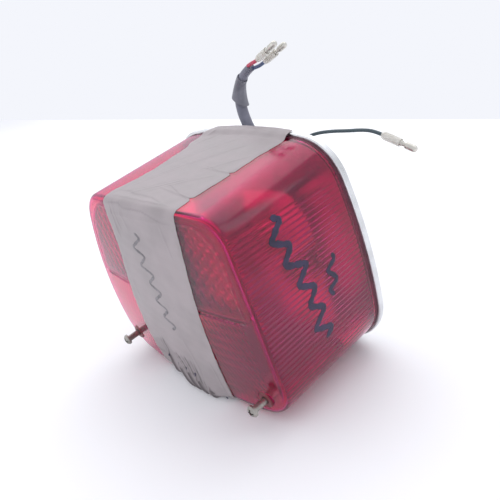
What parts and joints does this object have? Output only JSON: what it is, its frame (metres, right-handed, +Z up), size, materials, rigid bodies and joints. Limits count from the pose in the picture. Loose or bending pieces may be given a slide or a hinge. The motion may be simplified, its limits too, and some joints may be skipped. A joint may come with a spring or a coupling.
{
  "type": "motorcycle tail light",
  "caption": "Boxy red motorcycle tail light on a cast base with stud mounting, bayonet lamps, long lens screws, a tape strip and a short harness.",
  "frame": {"origin": "centre of the three mounting studs, on the plane their rubber pads bear on", "axes": "+Y from the lamp towards the motorcycle, so the lens faces -Y; +Z up; +X to the right seen from the lens"},
  "size_m": [0.185, 0.1278, 0.1827],
  "materials": {
    "lens_red": "clear red moulded plastic, ribbed and beaded inside",
    "reflex_red": "beaded red reflex panel",
    "backing_silver": "bright foil",
    "tape_grey": "grey-beige adhesive tape, slightly wrinkled",
    "cast_alloy": "die-cast, lightly polished rim",
    "gasket_rubber": "soft black rubber",
    "tray_bright": "bright pressed metal",
    "boot_rubber": "moulded rubber",
    "plated_steel": "zinc plated",
    "sheath_vinyl": "dull black vinyl",
    "wrap_black": "wrinkled black wrap",
    "lead_red": "insulated wire",
    "lead_blue": "insulated wire",
    "lead_earth": "dark green insulated wire",
    "pad_rubber": "mounting rubber",
    "seal_rubber": "aged dark red rubber",
    "screw_steel": "dulled steel",
    "socket_steel": "zinc plated, satin",
    "spring_steel": "spring wire",
    "board_brown": "laminated insulating board",
    "contact_brass": "brass contacts",
    "bulb_brass": "plated brass cap",
    "bulb_clear": "clear blown glass",
    "filament_wire": "bright wire",
    "bullet_metal": "tinned metal",
    "sleeve_clear": "clear soft vinyl, slightly yellowed"
  },
  "bodies": {
    "base": {"base_housing": "cast_alloy", "lens_gasket": "gasket_rubber", "inner_reflector": "tray_bright", "harness_boot": "boot_rubber", "earth_screw": "plated_steel", "earth_terminal": "plated_steel", "harness_sheath": "sheath_vinyl", "harness_wrap": "wrap_black", "lead_red": "lead_red", "lead_blue": "lead_blue", "earth_lead": "lead_earth", "inner_lead_left": "lead_blue", "inner_lead_right": "lead_red", "mount_studs": "plated_steel", "mount_pads": "pad_rubber", "socket_shell_left": "socket_steel", "socket_spring_left": "spring_steel", "terminal_disc_left": "board_brown", "socket_shell_right": "socket_steel", "socket_spring_right": "spring_steel", "terminal_disc_right": "board_brown", "bullet_pin_red": "bullet_metal", "bullet_sleeve_red": "sleeve_clear", "bullet_pin_blue": "bullet_metal", "bullet_sleeve_blue": "sleeve_clear", "bullet_pin_earth": "bullet_metal", "bullet_sleeve_earth": "sleeve_clear"},
    "lens": {"lens_shell": "lens_red", "reflex_panel": "reflex_red", "reflex_backing": "backing_silver", "tape_band": "tape_grey", "screw_seal_left": "seal_rubber", "screw_seal_right": "seal_rubber"},
    "screw_left": {"lens_screw_left": "screw_steel"},
    "contact_left": {"contact_disc_left": "contact_brass"},
    "bulb_left": {"bulb_cap_left": "bulb_brass", "bulb_glass_left": "bulb_clear", "bulb_filament_left": "filament_wire"},
    "screw_right": {"lens_screw_right": "screw_steel"},
    "contact_right": {"contact_disc_right": "contact_brass"},
    "bulb_right": {"bulb_cap_right": "bulb_brass", "bulb_glass_right": "bulb_clear", "bulb_filament_right": "filament_wire"}
  },
  "joints": [
    {"name": "lens_off", "type": "slide", "parent": "base", "child": "lens", "axis": [0, -1, 0], "range_m": [0, 0.12]},
    {"name": "screw_left_out", "type": "slide", "parent": "lens", "child": "screw_left", "axis": [0, -1, 0], "range_m": [-0.0082, 0.055]},
    {"name": "contact_left_press", "type": "slide", "parent": "base", "child": "contact_left", "axis": [0, 1, 0], "range_m": [0, 0.0025], "stiffness_N_per_m": 1500, "springref_m": -0.002, "deforming": ["socket_spring_left"]},
    {"name": "bulb_left_turn", "type": "hinge", "parent": "contact_left", "child": "bulb_left", "pos_m": [-0.032, 0, 0], "axis": [0, -1, 0], "range_deg": [0, 20]},
    {"name": "screw_right_out", "type": "slide", "parent": "lens", "child": "screw_right", "axis": [0, -1, 0], "range_m": [-0.0082, 0.055]},
    {"name": "contact_right_press", "type": "slide", "parent": "base", "child": "contact_right", "axis": [0, 1, 0], "range_m": [0, 0.0025], "stiffness_N_per_m": 1500, "springref_m": -0.002, "deforming": ["socket_spring_right"]},
    {"name": "bulb_right_turn", "type": "hinge", "parent": "contact_right", "child": "bulb_right", "pos_m": [0.032, 0, 0], "axis": [0, -1, 0], "range_deg": [0, 20]}
  ]
}
